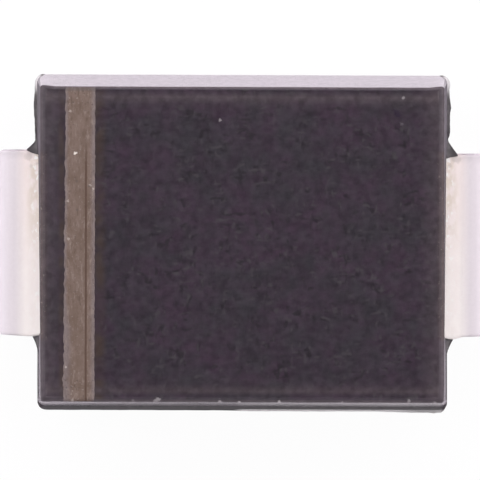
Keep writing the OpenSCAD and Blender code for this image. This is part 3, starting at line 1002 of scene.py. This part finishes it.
def worn_and_highlight_color(look, mottle):
    """Rubbed compound, which also paints the highlight on the top's edges and ends: greyer, and warmer with
    pale flecks over the terminals.
    """
    worn_and_highlit = look.mix(mottle, (0.040, 0.029, 0.034), (0.068, 0.052, 0.060))
    at_end = look.rise(look.maths("ABSOLUTE", look.x, 0.0), 2.08, 2.14)
    over_lead = look.times(look.between(look.y, -1.03, 1.0, 0.03), at_end)
    worn_and_highlit = look.mix(over_lead, worn_and_highlit, look.tinted(worn_and_highlit, (1.06, 0.95, 0.82)))
    flecks = look.rise(look.grain(0.026, 2.0, 0.6, 21, (1, 0.7, 1)), 0.62, 0.74)
    return look.mix(look.times(flecks, over_lead), worn_and_highlit, (0.175, 0.145, 0.130))


def compound_looks(name, matt_low, matt_high, coat, polish):
    """Black epoxy moulding compound with a matt grain, which the polish takes down where the mesh says so."""
    look = Looks(name, Coat_Weight=coat, Coat_Roughness=0.10, Specular_Tint=(1.0, 0.93, 1.0, 1.0))
    mottle = look.rise(look.grain(0.085, 2.5, 0.55, 1), 0.25, 0.75)
    # Worn colour where the mesh says so: wear, and the painted highlight on the top's edges and rounded ends
    color = look.mix(look.value("wear_and_highlight"), moulded_color(look, mottle), worn_and_highlight_color(look, mottle))
    pale = look.mix(mottle, (0.088, 0.078, 0.083), (0.140, 0.127, 0.133))
    # Pale flash on the ledges, with painted light along the front and a painted highlight on the front edge
    color = look.mix(look.value("ledge_and_painted_light"), color, pale)
    color = look.mix(look.value("thin_flash"), color, (1.0, 0.95, 0.98))
    near_top = look.rise(look.z, TOP_HEIGHT - 0.14, TOP_HEIGHT - 0.08)
    color = look.dabs(color, CASE_GRAINS, (0.62, 0.57, 0.59), near_top)
    roughness = look.rise(look.grain(0.06, 2.0, 0.5, 5), 0.25, 0.75, matt_low, matt_high)
    roughness = look.maths("SUBTRACT", roughness, look.times(look.value("polish"), polish))
    normal = look.bump(look.grain(0.030, 2.0, 0.6, 6), 0.0010, 0.3)
    normal = look.bump(look.grain(0.11, 2.0, 0.5, 7), 0.0020, 0.3, Normal=normal)
    return look.finish(color, roughness, normal)


# Grey-brown patches on the terminals beside the webs of flash, darker there: place, radius and strength
TIN_DARK_PATCHES = (
    (-2.330, 0.943, 0.065, 0.45), (-2.308, 0.834, 0.030, 0.35), (-2.240, 0.860, 0.022, 0.45),
    (2.326, 0.910, 0.065, 0.45), (2.271, 0.834, 0.035, 0.40),
)
# Painted highlights: bright glints on the terminals close to the case: place, radius and strength
TIN_GLINTS = (
    (-2.254, 0.925, 0.030, 1.0), (-2.250, 0.760, 0.026, 0.7), (-2.255, 0.560, 0.022, 0.5),
    (2.252, 0.900, 0.036, 1.0), (2.240, 0.735, 0.026, 0.8), (2.250, 0.430, 0.022, 0.5),
)


def tin_looks():
    """Matt tin plate: fine crystal grain, warm near the case, cooler where it was bent; the flat part by the
    case is painted brighter than the bend against the case's shade, and darker towards the back as painted
    shade.
    """
    look = Looks("tinned_copper", Metallic=0.35)
    reach = look.maths("ABSOLUTE", look.x, 0.0)
    bend = look.mix(look.rise(reach, 2.53, 2.64), (0.626, 0.568, 0.606), (0.704, 0.660, 0.698))
    # Painted light: the flat part by the case brightened against the case's shade, and darker towards the
    # back as painted shade
    flat_painted_bright = look.mix(look.rise(look.y, -0.9, 0.9), (1.0, 0.930, 0.920), (0.96, 0.85, 0.84))
    crystals = look.rise(look.grain(0.075, 3.0, 0.6, 1, (1, 0.5, 1)), 0.30, 0.70)
    flat_painted_bright = look.mix(crystals, look.tinted(flat_painted_bright, (0.975, 0.965, 0.97)), flat_painted_bright)
    color = look.mix(look.rise(reach, 2.352, 2.508), flat_painted_bright, bend)
    streaks = look.rise(look.grain(0.075, 2.5, 0.6, 2, (1, 0.45, 1)), 0.36, 0.62)
    stain = look.times(look.rise(reach, 2.40, 2.27), streaks)
    stain = look.times(stain, look.rise(look.y, -0.35, 0.6, 0.08, 0.78))
    color = look.mix(stain, color, (0.80, 0.69, 0.61))
    lightened = look.rise(look.grain(0.040, 2.0, 0.6, 9, (1, 0.5, 1)), 0.56, 0.70)
    color = look.mix(look.times(lightened, look.rise(reach, 2.36, 2.26)), color, (1.0, 0.955, 0.945))
    color = look.dabs(color, TIN_DARK_PATCHES, (0.60, 0.52, 0.50))
    # Painted glints close to the case
    color = look.dabs(color, TIN_GLINTS, (1.0, 0.95, 0.945))
    # Painted shade along the back edge of the strip, strongest near the case
    back_edge_shade = look.times(look.value("back_edge"), look.rise(reach, 2.42, 2.58, 1.0, 0.55))
    color = look.mix(back_edge_shade, color, look.tinted(color, (0.80, 0.79, 0.81)))
    roughness = look.rise(look.grain(0.035, 2.0, 0.5, 3), 0.25, 0.75, 0.64, 0.76)
    normal = look.bump(look.grain(0.018, 2.0, 0.6, 4), 0.0016, 0.5)
    normal = look.bump(look.grain(0.10, 2.0, 0.5, 5), 0.0040, 0.4, Normal=normal)
    return look.finish(color, roughness, normal)


# Bright grains in the mark: place, radius and strength
MARK_GLINTS = (
    (-1.800, 0.985, 0.019, 1.0), (-1.783, 0.990, 0.013, 0.6), (-1.852, 1.440, 0.020, 0.25),
    (-1.640, 0.640, 0.018, 0.25), (-1.605, 0.600, 0.018, 0.30), (-1.880, 0.470, 0.020, 0.25),
    (-1.870, 0.060, 0.022, 0.25), (-1.900, -1.320, 0.016, 0.35), (-1.830, -1.678, 0.022, 0.40),
)


def mark_looks():
    """Laser-marked epoxy: grey-brown foam, lighter along its edges, dark in the groove."""
    look = Looks("laser_mark", Specular_IOR_Level=0.25)
    tone = look.value("lightness")
    mottle = look.rise(look.grain(0.15, 3.0, 0.6, 1, (1, 0.6, 1)), 0.30, 0.70)
    inner = look.mix(mottle, (0.106, 0.070, 0.056), (0.140, 0.096, 0.082))
    light = look.mix(mottle, (0.124, 0.093, 0.093), (0.157, 0.122, 0.123))
    color = look.mix(look.rise(tone, 0.5, 0.85), inner, light)
    lines = look.grain(0.030, 2.0, 0.6, 6, (1, 0.30, 1))
    color = look.mix(look.rise(lines, 0.52, 0.78, 0.0, 0.65), color, (0.200, 0.152, 0.138))
    color = look.mix(look.rise(lines, 0.46, 0.24, 0.0, 0.65), color, (0.078, 0.050, 0.040))
    back_end = look.rise(look.y, 1.42, 1.62, 0.35, 1.0)
    fray = look.maths("MAXIMUM", back_end, look.rise(look.y, -1.38, -1.50, 0.35, 0.9))
    for size, seed, paint in ((0.028, 7, (0.235, 0.195, 0.185)), (0.030, 8, (0.055, 0.038, 0.034))):
        flecks = look.rise(look.grain(size, 2.0, 0.6, seed), 0.60, 0.74)
        color = look.mix(look.times(flecks, fray), color, paint)
    color = look.dabs(color, MARK_GLINTS, (0.60, 0.53, 0.50))
    color = look.mix(look.rise(tone, 0.40, 0.05), color, (0.070, 0.040, 0.030))
    pits = look.specks(0.12, 0.018, 2, 0.3)
    color = look.mix(look.times(pits, 0.5), color, (0.07, 0.055, 0.055))
    color = look.mix(look.times(look.value("faint"), 0.75), color, (0.075, 0.062, 0.066))
    roughness = look.rise(look.grain(0.04, 2.0, 0.5, 3), 0.25, 0.75, 0.62, 0.82)
    normal = look.bump(look.grain(0.025, 2.0, 0.6, 4), 0.0040, 0.6)
    return look.finish(color, roughness, normal)


def silicon_looks():
    """Polished silicon with a faint bluish oxide cloud."""
    look = Looks("silicon", Metallic=0.6)
    cloud = look.rise(look.grain(0.40, 2.0, 0.5, 1), 0.3, 0.7)
    color = look.mix(cloud, (0.095, 0.105, 0.135), (0.125, 0.130, 0.150))
    roughness = look.rise(look.grain(0.10, 2.0, 0.5, 2), 0.3, 0.7, 0.12, 0.22)
    return look.finish(color, roughness, look.bump(look.grain(0.05, 1.0, 0.5, 3), 0.0006, 0.4))


def glass_looks():
    """Fused milky passivation glass."""
    look = Looks("passivation", IOR=1.55, Transmission_Weight=0.35)
    cloud = look.rise(look.grain(0.12, 3.0, 0.5, 1), 0.3, 0.7)
    color = look.mix(cloud, (0.58, 0.68, 0.62), (0.74, 0.80, 0.76))
    roughness = look.rise(look.grain(0.06, 2.0, 0.5, 2), 0.3, 0.7, 0.18, 0.35)
    return look.finish(color, roughness, look.bump(look.grain(0.04, 2.0, 0.5, 3), 0.0020, 0.5))


def solder_looks():
    """Dull grey solder with a grainy, slightly dendritic skin."""
    look = Looks("solder", Metallic=1.0)
    cloud = look.rise(look.grain(0.10, 3.0, 0.6, 1), 0.3, 0.7)
    color = look.mix(cloud, (0.30, 0.30, 0.32), (0.42, 0.42, 0.43))
    roughness = look.rise(look.grain(0.05, 2.0, 0.5, 2), 0.3, 0.7, 0.38, 0.58)
    return look.finish(color, roughness, look.bump(look.grain(0.04, 2.0, 0.5, 3), 0.0030, 0.5))


# Finishes of the case, in the order of its materials: name, least and most roughness, coat and polish
CASE_FINISHES = (
    ("mould_compound", 0.30, 0.38, 0.0, 0.0),
    ("mould_compound_sides", 0.18, 0.26, 0.45, 0.0),
    ("mould_compound_corners", 0.28, 0.36, 0.15, 0.0),
    ("mould_compound_ends", 0.54, 0.64, 0.0, 0.30),
)


def dress(piece, materials, slot, *nodes):
    """Gives a new piece its materials and its place in the frame."""
    for material in materials:
        piece.data.materials.append(material)
    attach(piece, "root")
    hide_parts(*nodes)


tin = tin_looks()
dress(make_case(), [compound_looks(*finish) for finish in CASE_FINISHES], "mould_compound", "moulded_body")
dress(make_lead("cathode_lead", CATHODE), [tin], "tinned_copper", "cathode_terminal")
dress(make_lead("anode_lead", ANODE), [tin], "tinned_copper", "anode_terminal")
dress(make_band(), [mark_looks()], "laser_mark", "cathode_band")
solder = solder_looks()
for node, material in (
    ("silicon_die", silicon_looks()),
    ("passivation_glass", glass_looks()),
    ("die_solder", solder),
    ("contact_solder", solder),
):
    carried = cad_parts[node].data.materials
    carried.clear()
    carried.append(material)


# Floor, light and camera

FLOOR_HALF_SIZE = 400
FLOOR_GAP = 0.004
# Share of plain white in what the camera sees of the floor; the rest shows the shadow
FLOOR_GLOW = 0.96
# Level of the surroundings, and of the part overhead, where the camera stands
AMBIENT_LEVEL = 0.26
ZENITH_LEVEL = 0.12
# Upward part of the directions between which the overhead part begins, and the white backdrop ends
ZENITH_EDGE = (0.90, 0.985)
BACKDROP_EDGE = (0.45, 0.80)
# Lamps: azimuth, size and how bright each makes a white floor; all at one elevation and distance
LAMP_ELEVATION = math.radians(44)
LAMP_DISTANCE = 70
LAMPS = {
    "left_lamp": (-66, 62, 0.42),
    "right_lamp": (66, 62, 0.42),
    "back_lamp": (0, 40, 0.28),
    "front_lamp": (180, 40, 0.08),
}
CAMERA_DISTANCE = 75
CAMERA_TILT = math.radians(1.35)
# Photo's width in pixels, and size of a pixel at the height of the parting line
PHOTO_WIDTH = 480
PIXEL_SIZE = 0.01093
FRAME_CENTRE = (-0.0241, 0.0246, PARTING_HEIGHT)


def floor_looks():
    """White paper: plain white to the camera with a faint shadow, lit as it is for everything else."""
    material = bpy.data.materials.new("floor_paper")
    material.use_nodes = True
    tree = Nodes(material.node_tree)
    tree.nodes.remove(tree.nodes["Principled BSDF"])
    paper = tree.add("BsdfDiffuse", Color=(0.91, 0.83, 0.91, 1))
    glow = tree.add("Emission", Color=(1, 1, 1, 1), Strength=1.0)
    to_camera = tree.times(tree.add("LightPath").outputs["Is Camera Ray"], FLOOR_GLOW)
    both = tree.add("MixShader")
    for socket, value in zip(both.inputs, (to_camera, paper.outputs[0], glow.outputs[0])):
        tree.set(socket, value)
    tree.fill(tree.nodes["Material Output"], Surface=both.outputs[0])
    return material


def make_floor():
    """Wide sheet just below the feet."""
    s = FLOOR_HALF_SIZE
    corners = [(-s, -s, -FLOOR_GAP), (s, -s, -FLOOR_GAP), (s, s, -FLOOR_GAP), (-s, s, -FLOOR_GAP)]
    floor = make_piece("floor", corners, [(0, 1, 2, 3)], crease_degrees=30)
    floor.data.materials.append(floor_looks())


def make_world():
    """Soft studio surroundings: a white backdrop low down, and dim overhead, where the camera stands."""
    world = bpy.data.worlds.new("studio")
    bpy.context.scene.world = world
    world.use_nodes = True
    tree = Nodes(world.node_tree)
    _, _, upward = tree.apart(tree.add("TexCoord").outputs["Generated"])
    level = tree.rise(upward, *ZENITH_EDGE, AMBIENT_LEVEL, ZENITH_LEVEL)
    path = tree.add("LightPath").outputs
    mirrored = tree.maths("MAXIMUM", path["Is Glossy Ray"], path["Is Transmission Ray"])
    backdrop = tree.times(mirrored, tree.rise(upward, *BACKDROP_EDGE, 1.0, 0.0))
    shown = tree.maths("MAXIMUM", path["Is Camera Ray"], backdrop)
    strength = tree.maths("ADD", level, tree.times(shown, tree.maths("SUBTRACT", 1.0, level)))
    tree.fill(tree.nodes["Background"], Color=(1, 1, 1, 1), Strength=strength)


def make_lamp(name, azimuth, size, floor_level):
    """Soft square lamp aimed at the case; floor_level is how bright it makes a white floor."""
    light = bpy.data.lights.new(name, "AREA")
    light.shape = "SQUARE"
    light.size = size * METRES
    turn = math.radians(azimuth)
    level = math.cos(LAMP_ELEVATION)
    aim = Vector((math.sin(turn) * level, math.cos(turn) * level, math.sin(LAMP_ELEVATION)))
    half = size / (2 * LAMP_DISTANCE)
    spread = half / math.hypot(1, half)
    seen = 4 / math.pi * spread * math.atan(spread)
    light.energy = floor_level * math.pi * (size * METRES) ** 2 / (seen * math.sin(LAMP_ELEVATION))
    lamp = bpy.data.objects.new(name, light)
    lamp.location = aim * LAMP_DISTANCE * METRES
    lamp.rotation_euler = aim.to_track_quat("Z", "Y").to_euler()
    bpy.context.scene.collection.objects.link(lamp)


def make_camera():
    """Camera almost straight above, leaning a little towards the back."""
    data = bpy.data.cameras.new("camera")
    data.sensor_width = 36
    data.lens = data.sensor_width * CAMERA_DISTANCE / (PHOTO_WIDTH * PIXEL_SIZE)
    data.clip_start = 0.001
    data.clip_end = 10
    camera = bpy.data.objects.new("camera", data)
    away = Vector((0, math.sin(CAMERA_TILT), math.cos(CAMERA_TILT)))
    camera.location = (Vector(FRAME_CENTRE) + away * CAMERA_DISTANCE) * METRES
    camera.rotation_euler = (-CAMERA_TILT, 0, 0)
    bpy.context.scene.collection.objects.link(camera)
    bpy.context.scene.camera = camera


make_floor()
make_world()
for lamp_name, settings in LAMPS.items():
    make_lamp(lamp_name, *settings)
make_camera()
bpy.context.scene.view_settings.view_transform = "Standard"
